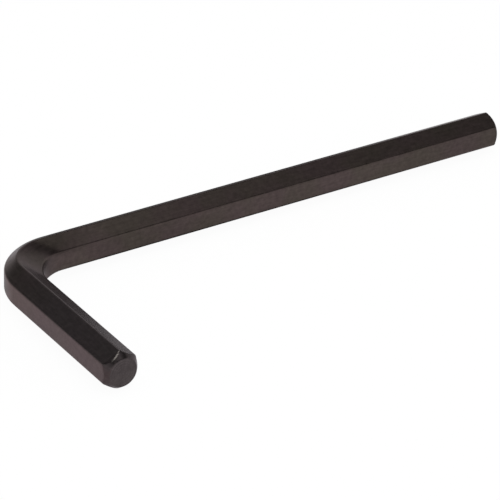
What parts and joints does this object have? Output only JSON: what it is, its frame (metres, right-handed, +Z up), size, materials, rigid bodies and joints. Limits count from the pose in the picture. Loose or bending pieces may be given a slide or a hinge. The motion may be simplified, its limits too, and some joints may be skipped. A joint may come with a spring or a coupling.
{
  "type": "hex key",
  "caption": "L-shaped hexagonal key in black oxide steel, with a round bend and a turned bevel at each tip.",
  "frame": {"origin": "centre of the footprint at bench level, with the key lying flat on the lower edge of both arms", "axes": "+X along the long arm towards its tip, -Y along the short arm towards its tip, +Z up from the bench"},
  "size_m": [0.085, 0.0338, 0.0056],
  "materials": {
    "black_oxide_steel": "black oxide, lightly oiled, semi-gloss"
  },
  "bodies": {
    "root": {"hex_key": "black_oxide_steel"}
  },
  "joints": []
}
